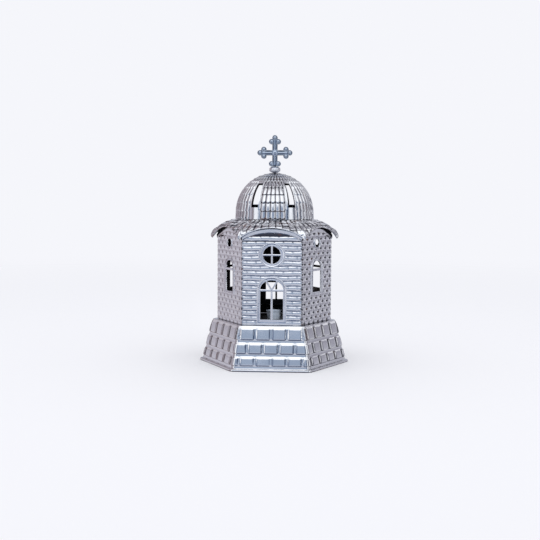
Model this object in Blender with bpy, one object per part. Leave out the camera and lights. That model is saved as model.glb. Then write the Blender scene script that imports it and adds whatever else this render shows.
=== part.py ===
"""Chapel-shaped candle lantern: a pierced six-sided metal house with a domed roof and a budded
cross, standing on a flared six-sided base that carries a small candle cup.

Metres, +Z up. The origin is on the axis, at the level the base stands on. The door faces -Y.
"""
import math

import bmesh
import bpy

# ---------------------------------------------------------------- driving dimensions
HOUSE_SIDE = 0.050          # side of the six-sided house, which is also its corner radius
SHEET = 0.0008              # thickness of the pressed sheet
GAP = 0.0003                # kept between pieces that touch

BASE_HEIGHT = 0.0369
BASE_TOP_RADIUS = 0.0555    # corner radii of the sharp hexagons, before rounding
SKIRT_RADIUS = 0.0638
FLANGE_RADIUS = 0.0660
FLANGE_HEIGHT = 0.0022
FLANGE_WIDTH = 0.0035
BASE_CORNER = 0.0050        # rounding of the base's upright corners
BASE_SHOULDER = 0.0020      # rounding between the skirt and the ledge
PLATE_LIFT = 0.0008         # bottom plate's underside over the surface the base stands on

LOCATOR_HEIGHT = 0.0040
LOCATOR_CLEARANCE = 0.0006
LOCATOR_CORNER = 0.0020     # rounding of the rim's corners outside, and inside below
LOCATOR_INNER_CORNER = 0.0015

EAVE_APOTHEM = 0.0476       # axis to the middle of an eave
EAVE_CROWN = 0.1182
EAVE_RISE = 0.0100          # crown of an eave above its two ends
EAVE_FALL = 0.0030          # even slope of the roof, beside its rounded drop
ROOF_TOP = 0.1250
ROOF_HOLE = 0.0320
COLLAR_BELOW, COLLAR_ABOVE = 0.0030, 0.0035     # reach of the collar under and over the roof's top

DOME_RADIUS = 0.0336
DOME_FOOT_RADIUS = 0.0340
DOME_CENTRE = 0.1310
DOME_STUD_HOLE = 0.0016
SLOT_HALF_ANGLE = 5.6       # degrees of azimuth
SLOT_AZIMUTHS = (27.5, 90, 152.5, 214, 270, 332.5)
SLOT_LOW, SLOT_HIGH = 6.5, 46.0      # degrees of latitude on the dome
REAR_SLOT_LOW = 10.5        # the two rear slots start higher up
STEPS_BETWEEN_SLOTS = 6

CUP_RADIUS = 0.0062
CUP_LIP_RADIUS = 0.0068
CUP_HEIGHT = 0.0075
CUP_WALL = 0.0006
CUP_EDGE = 0.0003           # rounding of the lip
SCREW_RADIUS = 0.0015
SCREW_HEAD_RADIUS = 0.0028
SCREW_HEAD_HEIGHT = 0.0014
SCREW_HOLE = 0.0018
NUT_RADIUS = 0.0030
NUT_HEIGHT = 0.0020
SCREW_TAIL, SHANK_TAIL = 0.0015, 0.0030     # threads that stand out under their nuts
WASHER_RADIUS = 0.0032
WASHER_THICKNESS = 0.0003

BEAD_RADIUS = 0.0050
BEAD_HALF_HEIGHT = 0.0030
CROSS_CENTRE = 0.1822
CROSS_THICKNESS = 0.0024
ARM_HALF_WIDTH = 0.0022
ARM_TIP = 0.0129            # crossing to the middle of an end bud
SIDE_BUD = (0.0096, 0.0029)  # along the arm and out from it
BUD_RADIUS = 0.0023
LOWER_ARM = 0.0113          # crossing to the foot of the cross
LOWER_BUD = (0.0095, 0.0029)
SHANK_RADIUS = 0.0011
SHANK_OVERLAP = 0.0020      # how far the shank runs up into the flat cross

DOOR = dict(half=0.0095, sill=0.04175, transom=0.06545, spring=0.0672, rise=0.0074)
REAR = dict(half=0.0095, sill=0.0500, transom=0.06545, spring=0.0672, rise=0.0074)
SIDE = dict(half=0.00675, sill=0.0635, transom=0.08165, spring=0.08325, rise=0.00675)
MULLION = 0.00165
SPOKE = 0.0014
ROSE = dict(height=0.09575, radius=0.00735, bar=0.0015)
SMALL_HOLE = dict(height=0.1050, radius=0.0035)

# ---------------------------------------------------------------- sizes that follow
WALL_APOTHEM = HOUSE_SIDE * math.cos(math.radians(30))
WALL_FOOT = BASE_HEIGHT + GAP
DOME_FOOT = ROOF_TOP + GAP / 3
DOME_APEX = DOME_CENTRE + DOME_RADIUS
CUP_FOOT = BASE_HEIGHT + GAP
BEAD_CENTRE = DOME_APEX + BEAD_HALF_HEIGHT
EAVE_HALF = EAVE_APOTHEM * math.tan(math.radians(30))
EAVE_ARCH = (EAVE_HALF ** 2 + EAVE_RISE ** 2) / (2 * EAVE_RISE)

FACES = {"wall_front": 0, "wall_front_right": 60, "wall_rear_right": 120,
         "wall_rear": 180, "wall_rear_left": 240, "wall_front_left": 300}

COLOURS = {"polished": ((0.78, 0.79, 0.82), 0.16), "satin": ((0.62, 0.62, 0.65), 0.35),
           "steel": ((0.55, 0.56, 0.58), 0.30)}


# ---------------------------------------------------------------- helpers
def material(name):
    colour, roughness = COLOURS[name]
    found = bpy.data.materials.get(name)
    if found:
        return found
    made = bpy.data.materials.new(name)
    made.use_nodes = True
    shader = made.node_tree.nodes["Principled BSDF"]
    shader.inputs["Base Color"].default_value = (*colour, 1.0)
    shader.inputs["Metallic"].default_value = 1.0
    shader.inputs["Roughness"].default_value = roughness
    return made


def finish(name, mesh_data, finish_name="polished", smooth_angle=35, parent=None):
    """Turn a bmesh into the named object, with its faces pointing out."""
    bmesh.ops.recalc_face_normals(mesh_data, faces=mesh_data.faces)
    mesh = bpy.data.meshes.new(name)
    mesh_data.to_mesh(mesh)
    mesh_data.free()
    mesh.shade_smooth()
    mesh.set_sharp_from_angle(angle=math.radians(smooth_angle))
    mesh.materials.append(material(finish_name))
    piece = bpy.data.objects.new(name, mesh)
    bpy.context.scene.collection.objects.link(piece)
    piece.parent = parent
    return piece


def polar(radius, azimuth, height):
    """A point from its azimuth in degrees, where 0 is the front (-Y) and 90 is +X."""
    angle = math.radians(azimuth)
    return (radius * math.sin(angle), -radius * math.cos(angle), height)


def circle(radius, height, count):
    return [polar(radius, 360 * i / count, height) for i in range(count)]


def rounded_hexagon(radius, height, corner, steps=3):
    """A hexagon of the given corner radius, its corners rounded with arcs of `steps` segments."""
    points = []
    reach = radius - corner / math.cos(math.radians(30))
    for k in range(6):
        middle = 30 + 60 * k
        cx, cy, _ = polar(reach, middle, 0)
        for i in range(steps + 1):
            dx, dy, _ = polar(corner, middle - 30 + 60 * i / steps, 0)
            points.append((cx + dx, cy + dy, height))
    return points


def hexagon_circle(radius, height, steps=3):
    """A circle with a point for each point of rounded_hexagon."""
    points = []
    for k in range(6):
        for i in range(steps + 1):
            points.append(polar(radius, 60 * k + 60 * (i + 0.5) / (steps + 1), height))
    return points


def loft(rings, closed=False):
    """Skin a list of rings; a closed loft joins the last ring to the first, an open one is capped."""
    bm = bmesh.new()
    rows = [[bm.verts.new(p) for p in ring] for ring in rings]
    pairs = list(zip(rows, rows[1:]))
    if closed:
        pairs.append((rows[-1], rows[0]))
    for low, high in pairs:
        for i in range(len(low)):
            j = (i + 1) % len(low)
            bm.faces.new((low[i], low[j], high[j], high[i]))
    if not closed:
        bm.faces.new(rows[0])
        bm.faces.new(rows[-1])
    return bm


def turned(profile, count, closed=False):
    """Turn a profile of (radius, height) points about the axis."""
    return loft([circle(r, z, count) for r, z in profile], closed)


def arc(centre, radius, start, end, steps, squash=1.0):
    """Points on an arc in the plane, from start to end in degrees, counted from the first axis."""
    points = []
    for i in range(steps + 1):
        a = math.radians(start + (end - start) * i / steps)
        points.append((centre[0] + radius * math.cos(a), centre[1] + radius * squash * math.sin(a)))
    return points


# ---------------------------------------------------------------- the roof's surface
def eave(azimuth):
    """Radius and height of the eave's lower edge at an azimuth."""
    off = math.radians((azimuth + 30) % 60 - 30)
    along = EAVE_APOTHEM * math.tan(off)
    drop = EAVE_ARCH - math.sqrt(EAVE_ARCH ** 2 - along ** 2)
    return EAVE_APOTHEM / math.cos(off), EAVE_CROWN - drop


def roof_point(azimuth, turn, inset):
    """A point of the roof, `turn` from 0 at its hole to 90 at the eave, `inset` under its skin."""
    radius, height = eave(azimuth)
    reach = math.sin(math.radians(turn))
    sag = 1 - math.cos(math.radians(turn))
    top = ROOF_TOP - inset
    r = ROOF_HOLE + (radius - inset - ROOF_HOLE) * reach
    z = top - EAVE_FALL * reach - (top - EAVE_FALL - height) * sag
    return polar(r, azimuth, z)


def roof_underside(along):
    """Height of the roof's underside over a wall, at a distance along from the wall's middle."""
    azimuth = math.degrees(math.atan2(along, WALL_APOTHEM))
    radius, height = eave(azimuth)
    wall = math.hypot(along, WALL_APOTHEM)
    reach = (wall - ROOF_HOLE) / (radius - SHEET - ROOF_HOLE)
    sag = 1 - math.sqrt(1 - reach ** 2)
    top = ROOF_TOP - SHEET
    return top - EAVE_FALL * reach - (top - EAVE_FALL - height) * sag


# ---------------------------------------------------------------- base
def base_shell(root):
    under = BASE_HEIGHT - SHEET
    inner_skirt = FLANGE_RADIUS - FLANGE_WIDTH / math.cos(math.radians(30))
    step = BASE_SHOULDER
    rings = [
        hexagon_circle(SCREW_HOLE, BASE_HEIGHT),
        rounded_hexagon(BASE_TOP_RADIUS - step, BASE_HEIGHT, BASE_CORNER - step),
        rounded_hexagon(BASE_TOP_RADIUS - step * 0.3, BASE_HEIGHT - step * 0.3, BASE_CORNER - step * 0.3),
        rounded_hexagon(BASE_TOP_RADIUS, BASE_HEIGHT - step, BASE_CORNER),
        rounded_hexagon(SKIRT_RADIUS, FLANGE_HEIGHT, BASE_CORNER),
        rounded_hexagon(FLANGE_RADIUS, FLANGE_HEIGHT * 0.75, BASE_CORNER),
        rounded_hexagon(FLANGE_RADIUS, 0, BASE_CORNER),
        rounded_hexagon(inner_skirt, 0, BASE_CORNER),
        rounded_hexagon(inner_skirt, FLANGE_HEIGHT, BASE_CORNER),
        rounded_hexagon(BASE_TOP_RADIUS - SHEET * 1.3, under - step, BASE_CORNER - SHEET),
        rounded_hexagon(BASE_TOP_RADIUS - step - SHEET, under, BASE_CORNER - step),
        hexagon_circle(SCREW_HOLE, under),
    ]
    return finish("base_shell", loft(rings, closed=True), parent=root)


def bottom_plate(root):
    radius = FLANGE_RADIUS - FLANGE_WIDTH / math.cos(math.radians(30)) - 2 * GAP
    rings = [rounded_hexagon(radius, z, BASE_CORNER) for z in (PLATE_LIFT, PLATE_LIFT + SHEET)]
    return finish("bottom_plate", loft(rings), "satin", parent=root)


def locating_rim(root):
    outer = (WALL_APOTHEM - SHEET - LOCATOR_CLEARANCE) / math.cos(math.radians(30))
    inner = outer - SHEET / math.cos(math.radians(30))
    low, high = BASE_HEIGHT + GAP, BASE_HEIGHT + GAP + LOCATOR_HEIGHT
    rings = [rounded_hexagon(outer, low, LOCATOR_CORNER), rounded_hexagon(outer, high, LOCATOR_CORNER),
             rounded_hexagon(inner, high, LOCATOR_INNER_CORNER), rounded_hexagon(inner, low, LOCATOR_INNER_CORNER)]
    return finish("locating_rim", loft(rings, closed=True), "satin", parent=root)


def candle_cup(root):
    top = CUP_FOOT + CUP_HEIGHT
    profile = [(SCREW_HOLE, CUP_FOOT), (CUP_RADIUS - 0.0006, CUP_FOOT), (CUP_RADIUS - 0.0002, CUP_FOOT + 0.0005),
               (CUP_RADIUS, top - 0.0016), (CUP_LIP_RADIUS, top - CUP_EDGE), (CUP_LIP_RADIUS - CUP_EDGE, top),
               (CUP_RADIUS - CUP_WALL, top - 0.0014), (CUP_RADIUS - CUP_WALL - 0.0002, CUP_FOOT + CUP_WALL),
               (SCREW_HOLE, CUP_FOOT + CUP_WALL)]
    return finish("candle_cup", turned(profile, 32, closed=True), parent=root)


def cup_screw(root):
    seat = CUP_FOOT + CUP_WALL + GAP
    tail = BASE_HEIGHT - SHEET - NUT_HEIGHT - SCREW_TAIL
    head = SCREW_HEAD_RADIUS
    profile = [(SCREW_RADIUS * 0.8, tail), (SCREW_RADIUS, tail + 0.0004), (SCREW_RADIUS, seat), (head, seat),
               (head, seat + SCREW_HEAD_HEIGHT * 0.4), (head * 0.75, seat + SCREW_HEAD_HEIGHT * 0.85),
               (head * 0.3, seat + SCREW_HEAD_HEIGHT)]
    return finish("cup_screw", turned(profile, 16), "steel", parent=root)


def hexagon_nut(name, top, root, bore):
    low = top - NUT_HEIGHT
    rings = [hexagon_circle(NUT_RADIUS, z, steps=0) for z in (low, top)]
    rings += [hexagon_circle(bore, z, steps=0) for z in (top, low)]
    return finish(name, loft(rings, closed=True), "steel", smooth_angle=20, parent=root)


# ---------------------------------------------------------------- openings in the walls
def rectangle(left, right, low, high):
    return [(left, low), (right, low), (right, high), (left, high)]


def arch_pane(half, low, rise, steps=10):
    return arc((0, low), half, 0, 180, steps, squash=rise / half)


def spoke_side(opening, angle, side):
    """Where one side of a fanlight's spoke leaves the transom and where it meets the arch."""
    half, low, rise = opening["half"], opening["spring"], opening["rise"]
    a = math.radians(angle)
    dx, dz = math.cos(a), math.sin(a)
    ox, oz = -side * SPOKE / 2 * dz, side * SPOKE / 2 * dx
    # along (ox, oz) + k (dx, dz): height zero at the transom, then the ellipse of the arch
    foot = (ox - oz / dz * dx, low)
    p = (dx / half) ** 2 + (dz / rise) ** 2
    q = ox * dx / half ** 2 + oz * dz / rise ** 2
    k = (-q + math.sqrt(q * q - p * ((ox / half) ** 2 + (oz / rise) ** 2 - 1))) / p
    x, z = ox + k * dx, oz + k * dz
    return foot, math.degrees(math.atan2(z / rise, x / half))


def fan_panes(opening, lean=32, steps=5):
    """The fanlight's three panes, either side of and between two spokes that lean out from its foot."""
    half, low, squash = opening["half"], opening["spring"], opening["rise"] / opening["half"]
    foot, rim = spoke_side(opening, 90 - lean, -1)
    right = [foot] + arc((0, low), half, 0, rim, steps, squash)
    rim = spoke_side(opening, 90 - lean, 1)[1]
    join = SPOKE / 2 / math.sin(math.radians(lean))
    middle = [(0, low + join)] + arc((0, low), half, rim, 180 - rim, steps, squash)
    return [right, middle, [(-x, z) for x, z in right]]


def leaf_panes(opening):
    """The two tall panes under the transom, either side of the mullion."""
    half, low, high = opening["half"], opening["sill"], opening["transom"]
    return [rectangle(-half, -MULLION / 2, low, high), rectangle(MULLION / 2, half, low, high)]


def rose_panes():
    """Four quadrants between the bars of the round window."""
    centre, radius, bar = ROSE["height"], ROSE["radius"], ROSE["bar"] / 2
    edge = math.degrees(math.asin(bar / radius))
    panes = []
    for quarter in range(4):
        pane = [(bar, bar)] + arc((0, 0), radius, edge, 90 - edge, 5)
        turn = math.radians(90 * quarter)
        panes.append([(x * math.cos(turn) - z * math.sin(turn), centre + x * math.sin(turn) + z * math.cos(turn))
                      for x, z in pane])
    return panes


def small_round():
    return arc((0, SMALL_HOLE["height"]), SMALL_HOLE["radius"], 0, 345, 15)


def front_panes():
    return leaf_panes(DOOR) + fan_panes(DOOR) + rose_panes()


def rear_panes():
    half, low, rise = REAR["half"], REAR["spring"], REAR["rise"]
    edge = math.degrees(math.acos(MULLION / 2 / half))
    right = [(MULLION / 2, low)] + arc((0, low), half, 0, edge, 6, squash=rise / half)
    left = [(-x, z) for x, z in right]
    return leaf_panes(REAR) + [right, left, small_round()]


def side_panes():
    half, low, high = SIDE["half"], SIDE["sill"], SIDE["transom"]
    return [rectangle(-half, half, low, high), arch_pane(half, SIDE["spring"], SIDE["rise"]), small_round()]


def wall(name, azimuth, panes, root):
    """A flat panel with mitred edges, an arched top under the roof and its openings cut through."""
    half = HOUSE_SIDE / 2 - GAP / 2
    steps = 14
    top = [half - 2 * half * i / steps for i in range(steps + 1)]
    outline = [(-half, WALL_FOOT), (half, WALL_FOOT)] + [(x, roof_underside(x) - GAP) for x in top]
    mitre = SHEET * math.tan(math.radians(30))
    turn = math.radians(azimuth)

    def place(x, z, depth):
        if abs(abs(x) - half) < 1e-6:
            x -= math.copysign(mitre * depth / SHEET, x)
        out = WALL_APOTHEM - depth
        return (out * math.sin(turn) + x * math.cos(turn), -out * math.cos(turn) + x * math.sin(turn), z)

    bm = bmesh.new()
    loops = []
    for loop in [outline] + panes:
        front = [bm.verts.new(place(x, z, 0)) for x, z in loop]
        back = [bm.verts.new(place(x, z, SHEET)) for x, z in loop]
        loops.append((front, back))
    for side in (0, 1):
        edges = []
        for pair in loops:
            ring = pair[side]
            edges += [bm.edges.new((ring[i], ring[(i + 1) % len(ring)])) for i in range(len(ring))]
        bmesh.ops.triangle_fill(bm, use_beauty=True, edges=edges)
    for front, back in loops:
        for i in range(len(front)):
            j = (i + 1) % len(front)
            bm.faces.new((front[i], front[j], back[j], back[i]))
    return finish(name, bm, parent=root)


# ---------------------------------------------------------------- roof and dome
def roof_shell(root):
    count = 48
    turns = [0, 22, 42, 58, 72, 82, 90]
    outer = [[roof_point(360 * i / count, t, 0) for i in range(count)] for t in turns]
    inner = [[roof_point(360 * i / count, t, SHEET) for i in range(count)] for t in reversed(turns)]
    return finish("roof_shell", loft(outer + inner, closed=True), parent=root)


def dome_columns():
    """Azimuths of the dome's columns: both edges of each slot, and even steps to the next slot."""
    columns = []
    for slot, following in zip(SLOT_AZIMUTHS, SLOT_AZIMUTHS[1:] + SLOT_AZIMUTHS[:1]):
        start = slot + SLOT_HALF_ANGLE
        span = (following - slot) % 360 - 2 * SLOT_HALF_ANGLE
        columns += [start + span * i / STEPS_BETWEEN_SLOTS for i in range(STEPS_BETWEEN_SLOTS + 1)]
    return columns


def dome_shell(root):
    """A domed shell on a short drum, with six tall slots near the house's corners and sides."""
    columns = dome_columns()
    latitudes = [0, SLOT_LOW, REAR_SLOT_LOW, 21, 33, SLOT_HIGH, 57, 68, 78]
    outer = [(DOME_FOOT_RADIUS, DOME_FOOT)]
    inner = [(DOME_FOOT_RADIUS - SHEET, DOME_FOOT)]
    for latitude in latitudes:
        a = math.radians(latitude)
        outer.append((DOME_RADIUS * math.cos(a), DOME_CENTRE + DOME_RADIUS * math.sin(a)))
        inner.append(((DOME_RADIUS - SHEET) * math.cos(a), DOME_CENTRE + (DOME_RADIUS - SHEET) * math.sin(a)))
    outer.append((DOME_STUD_HOLE, DOME_APEX))
    inner.append((DOME_STUD_HOLE, DOME_APEX - SHEET))

    # the slot that follows column j, if any, opens the rows from its lowest to its highest latitude
    count = len(columns)
    per_slot = count // len(SLOT_AZIMUTHS)
    slot_rows = {}
    for k, azimuth in enumerate(SLOT_AZIMUTHS):
        low = REAR_SLOT_LOW if 120 < azimuth < 240 else SLOT_LOW
        slot_rows[(per_slot * k - 1) % count] = range(1 + latitudes.index(low), 1 + latitudes.index(SLOT_HIGH))

    bm = bmesh.new()
    skins = [[[bm.verts.new(polar(r, az, z)) for az in columns] for r, z in profile] for profile in (outer, inner)]
    for skin in skins:
        for i in range(len(outer) - 1):
            for j in range(count):
                if i in slot_rows.get(j, ()):
                    continue
                n = (j + 1) % count
                bm.faces.new((skin[i][j], skin[i][n], skin[i + 1][n], skin[i + 1][j]))

    def bridge(path):
        for i, j, n, m in path:
            bm.faces.new((skins[0][i][j], skins[0][n][m], skins[1][n][m], skins[1][i][j]))

    last = len(outer) - 1
    bridge([(0, j, 0, (j + 1) % count) for j in range(count)])
    bridge([(last, j, last, (j + 1) % count) for j in range(count)])
    for j, rows in slot_rows.items():
        n = (j + 1) % count
        low, high = rows[0], rows[-1] + 1
        bridge([(low, j, low, n), (high, j, high, n)])
        bridge([(i, side, i + 1, side) for i in rows for side in (j, n)])
    return finish("dome_shell", bm, parent=root)


def dome_collar(root):
    """The plain ring inside the dome's foot, through the roof's hole."""
    outer, inner = ROOF_HOLE - GAP, ROOF_HOLE - GAP - SHEET
    low, high = ROOF_TOP - COLLAR_BELOW, ROOF_TOP + COLLAR_ABOVE
    return finish("dome_collar", turned([(outer, low), (outer, high), (inner, high), (inner, low)], 36, closed=True),
                  "satin", parent=root)


# ---------------------------------------------------------------- finial
def finial_bead(root):
    bore = SHANK_RADIUS + GAP
    steps = 8
    profile = []
    for i in range(steps + 1):
        a = math.radians(-72 + 144 * i / steps)
        profile.append((BEAD_RADIUS * math.cos(a), BEAD_CENTRE + BEAD_HALF_HEIGHT * math.sin(a)))
    profile += [(bore, profile[-1][1]), (bore, profile[0][1])]
    return finish("finial_bead", turned(profile, 28, closed=True), parent=root)


def bud_arm(tip, bud, tip_bud=True):
    """Half the outline of an arm that points along +x: from its root, round its side bud to its tip."""
    along, out = bud
    meet = along - math.sqrt(BUD_RADIUS ** 2 - (out - ARM_HALF_WIDTH) ** 2)
    start = math.degrees(math.atan2(ARM_HALF_WIDTH - out, meet - along)) + 360
    points = [(ARM_HALF_WIDTH, ARM_HALF_WIDTH)]
    if not tip_bud:
        return points + arc(bud, BUD_RADIUS, start, 0, 9) + [(tip, out * 0.7)]
    gap = math.hypot(tip - along, out)
    lean = math.degrees(math.atan2(-out, tip - along))
    cut = math.degrees(math.acos(gap / 2 / BUD_RADIUS))
    points += arc(bud, BUD_RADIUS, start, lean + cut, 9)
    return points + arc((tip, 0), BUD_RADIUS, 180 + lean - cut, 0, 6)[1:]


def cross_outline():
    arms = [(ARM_TIP, SIDE_BUD, True)] * 3 + [(LOWER_ARM, LOWER_BUD, False)]
    outline = []
    for quarter, (tip, bud, tip_bud) in enumerate(arms):
        half = bud_arm(tip, bud, tip_bud)
        arm = [(x, -z) for x, z in half] + half[::-1][1 if tip_bud else 0:-1]
        turn = math.radians(90 * quarter)
        outline += [(x * math.cos(turn) - z * math.sin(turn), x * math.sin(turn) + z * math.cos(turn))
                    for x, z in arm]
    return outline


def cross(root):
    """A flat budded cross, whose round shank goes down through the bead and the dome."""
    half = CROSS_THICKNESS / 2
    outline = cross_outline()
    bm = bmesh.new()
    front = [bm.verts.new((x, -half, CROSS_CENTRE + z)) for x, z in outline]
    back = [bm.verts.new((x, half, CROSS_CENTRE + z)) for x, z in outline]
    for ring in (front, back):
        edges = [bm.edges.new((ring[i], ring[(i + 1) % len(ring)])) for i in range(len(ring))]
        bmesh.ops.triangle_fill(bm, use_beauty=True, edges=edges)
    for i in range(len(front)):
        j = (i + 1) % len(front)
        bm.faces.new((front[i], front[j], back[j], back[i]))
    plate = finish("cross", bm, smooth_angle=30, parent=root)

    shank_top = CROSS_CENTRE - LOWER_ARM + SHANK_OVERLAP
    shank_foot = DOME_APEX - SHEET - NUT_HEIGHT - SHANK_TAIL
    shank = finish("cross_shank", turned([(SHANK_RADIUS, shank_foot), (SHANK_RADIUS, shank_top)], 16), parent=root)
    shank.hide_render = True
    shank.display_type = "WIRE"
    union = plate.modifiers.new("shank", "BOOLEAN")
    union.operation = "UNION"
    union.solver = "EXACT"
    union.object = shank
    return plate


def finial_washer(root):
    high = DOME_APEX - SHEET - 2 * GAP
    low = high - WASHER_THICKNESS
    bore, rim = SHANK_RADIUS + GAP, WASHER_RADIUS
    profile = [(bore, low), (rim, low), (rim, high), (bore, high)]
    return finish("finial_washer", turned(profile, 20, closed=True), "steel", parent=root)


def main():
    for old in list(bpy.data.objects):
        bpy.data.objects.remove(old)
    base = bpy.data.objects.new("base", None)
    house = bpy.data.objects.new("house", None)
    for empty in (base, house):
        bpy.context.scene.collection.objects.link(empty)

    base_shell(base)
    bottom_plate(base)
    locating_rim(base)
    candle_cup(base)
    cup_screw(base)
    hexagon_nut("cup_nut", BASE_HEIGHT - SHEET - GAP, base, SCREW_RADIUS + GAP)

    panes = {"wall_front": front_panes, "wall_rear": rear_panes}
    for name, azimuth in FACES.items():
        wall(name, azimuth, panes.get(name, side_panes)(), house)
    roof_shell(house)
    dome_shell(house)
    dome_collar(house)
    finial_bead(house)
    cross(house)
    finial_washer(house)
    hexagon_nut("finial_nut", DOME_APEX - SHEET - WASHER_THICKNESS - 4 * GAP, house, SHANK_RADIUS + GAP)


main()
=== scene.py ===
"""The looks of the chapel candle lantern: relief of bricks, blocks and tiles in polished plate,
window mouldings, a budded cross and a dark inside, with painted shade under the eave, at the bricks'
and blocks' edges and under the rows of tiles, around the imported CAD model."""
import math

import bmesh
import bpy
import numpy as np
from mathutils import Matrix, Vector


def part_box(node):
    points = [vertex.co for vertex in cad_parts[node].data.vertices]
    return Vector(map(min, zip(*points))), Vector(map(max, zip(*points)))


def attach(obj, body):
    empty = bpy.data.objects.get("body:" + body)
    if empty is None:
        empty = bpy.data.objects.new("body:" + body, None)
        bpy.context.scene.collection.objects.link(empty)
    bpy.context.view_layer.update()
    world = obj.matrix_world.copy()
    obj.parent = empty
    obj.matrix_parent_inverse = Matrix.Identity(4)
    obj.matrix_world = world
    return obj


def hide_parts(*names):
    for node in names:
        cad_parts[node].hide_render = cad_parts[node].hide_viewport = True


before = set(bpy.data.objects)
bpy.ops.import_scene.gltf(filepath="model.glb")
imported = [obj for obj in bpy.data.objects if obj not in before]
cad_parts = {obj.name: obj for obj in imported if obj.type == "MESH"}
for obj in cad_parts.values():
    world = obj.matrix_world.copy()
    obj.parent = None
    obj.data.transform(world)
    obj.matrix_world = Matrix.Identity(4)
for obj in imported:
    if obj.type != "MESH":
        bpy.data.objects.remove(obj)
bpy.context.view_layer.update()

MM = 0.001
# the lantern is six-sided: the angle that one face takes up, and half of it
FACE_TURN = math.radians(60)
HALF_TURN = math.radians(30)

# ---- places read from the CAD model's parts
# the way each wall faces, in degrees of azimuth
WALLS = {"wall_front": 0, "wall_front_right": 60, "wall_rear_right": 120,
         "wall_rear": 180, "wall_rear_left": 240, "wall_front_left": 300}
WALL_APOTHEM = -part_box("wall_front")[0].y
WALL_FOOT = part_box("wall_front")[0].z
WALL_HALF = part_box("wall_front")[1].x
BASE_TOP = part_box("base_shell")[1].z
FLANGE_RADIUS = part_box("base_shell")[1].y / math.cos(HALF_TURN)
EAVE_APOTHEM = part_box("roof_shell")[1].y
EAVE_HALF = EAVE_APOTHEM * math.tan(HALF_TURN)
EAVE_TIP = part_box("roof_shell")[0].z
ROOF_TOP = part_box("roof_shell")[1].z
DOME_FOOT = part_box("dome_shell")[0].z
DOME_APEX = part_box("dome_shell")[1].z
DOME_FOOT_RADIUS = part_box("dome_shell")[1].y
CUP_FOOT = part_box("candle_cup")[0].z
CUP_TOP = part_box("candle_cup")[1].z
CUP_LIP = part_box("candle_cup")[1].x
BEAD_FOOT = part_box("finial_bead")[0].z
BEAD_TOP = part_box("finial_bead")[1].z
BEAD_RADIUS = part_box("finial_bead")[1].x
CROSS_HALF_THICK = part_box("cross")[1].y

# ---- sizes of the relief
SHEET = 0.8 * MM
# bricks: height of a course, and how far over the wall's foot the first whole one starts
BRICK_COURSE = 4.16 * MM
COURSE_START = 3.2 * MM
BRICKS_PER_WALL = 6.5
# how far the crowns stand over the joints, how deep the joints lie, how far the courses sway
BRICK_RISE = 0.52 * MM
BRICK_SINK = 0.22 * MM
BRICK_SWAY = 0.16 * MM
# blocks of the base: width along a face, heights of the lines between the courses, and rise
BLOCK_PITCH = 13.2 * MM
BLOCK_COURSES = (36.2 * MM, 23.6 * MM, 12.4 * MM, 2.6 * MM)
BLOCK_RISE = 0.8 * MM
BASE_CORNER = 5.0 * MM


# ---- mesh helpers
def smooth(x, low, high):
    """0 below low, 1 above high, and an even S between them."""
    u = np.clip((x - low) / (high - low), 0, 1)
    return u * u * (3 - 2 * u)


def polar(radius, azimuth, height):
    """A point from its azimuth in degrees: 0 is the front (-Y), 90 is +X."""
    angle = np.radians(azimuth)
    return np.stack(np.broadcast_arrays(radius * np.sin(angle), -radius * np.cos(angle), height), -1)


def cell_corners(index):
    """The four corners of each cell in a grid of point numbers."""
    return index[:-1, :-1], index[:-1, 1:], index[1:, 1:], index[1:, :-1]


def skin(outer, inner, keep=None, wrap=False):
    """Points, faces and inside flags of a sheet between two grids, closed round the kept cells."""
    rows, cols = outer.shape[:2]
    count = rows * cols
    index = np.arange(count).reshape(rows, cols)
    if wrap:
        index = np.concatenate([index, index[:, :1]], axis=1)
    a, b, c, d = cell_corners(index)
    if keep is None:
        keep = np.ones(a.shape, bool)
    padded = np.pad(keep, 1)
    if wrap:
        padded[:, 0], padded[:, -1] = padded[:, -2], padded[:, 1]
    borders = ((a, b, padded[:-2, 1:-1]), (b, c, padded[1:-1, 2:]),
               (c, d, padded[2:, 1:-1]), (d, a, padded[1:-1, :-2]))
    quads = [np.stack([a, b, c, d], -1)[keep], np.stack([d, c, b, a], -1)[keep] + count]
    rims = []
    for p, q, neighbour in borders:
        edge = keep & ~neighbour
        rims.append(np.stack([q[edge], p[edge], p[edge] + count, q[edge] + count], -1))
    quads += rims
    inside = np.concatenate([np.zeros(len(quads[0]), bool), np.ones(len(quads[1]), bool),
                             np.zeros(sum(len(r) for r in rims), bool)])
    return np.concatenate([outer.reshape(-1, 3), inner.reshape(-1, 3)]), np.concatenate(quads), inside


def loft(rings, closed=True):
    """Points and faces of a skin over rings of points, whose last ring joins the first one if it
    is closed, and whose ends are capped if not."""
    rings = np.asarray(rings)
    rows, cols = rings.shape[:2]
    index = np.arange(rows * cols).reshape(rows, cols)
    index = np.concatenate([index, index[:, :1]], axis=1)
    if closed:
        index = np.concatenate([index, index[:1]], axis=0)
    faces = np.stack(cell_corners(index), -1).reshape(-1, 4).tolist()
    if not closed:
        faces += [index[0, :-1][::-1].tolist(), index[-1, :-1].tolist()]
    return rings.reshape(-1, 3), faces


def place_object(name, data):
    """Adds an object with this data to the scene."""
    made = bpy.data.objects.new(name, data)
    bpy.context.scene.collection.objects.link(made)
    return made


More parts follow.
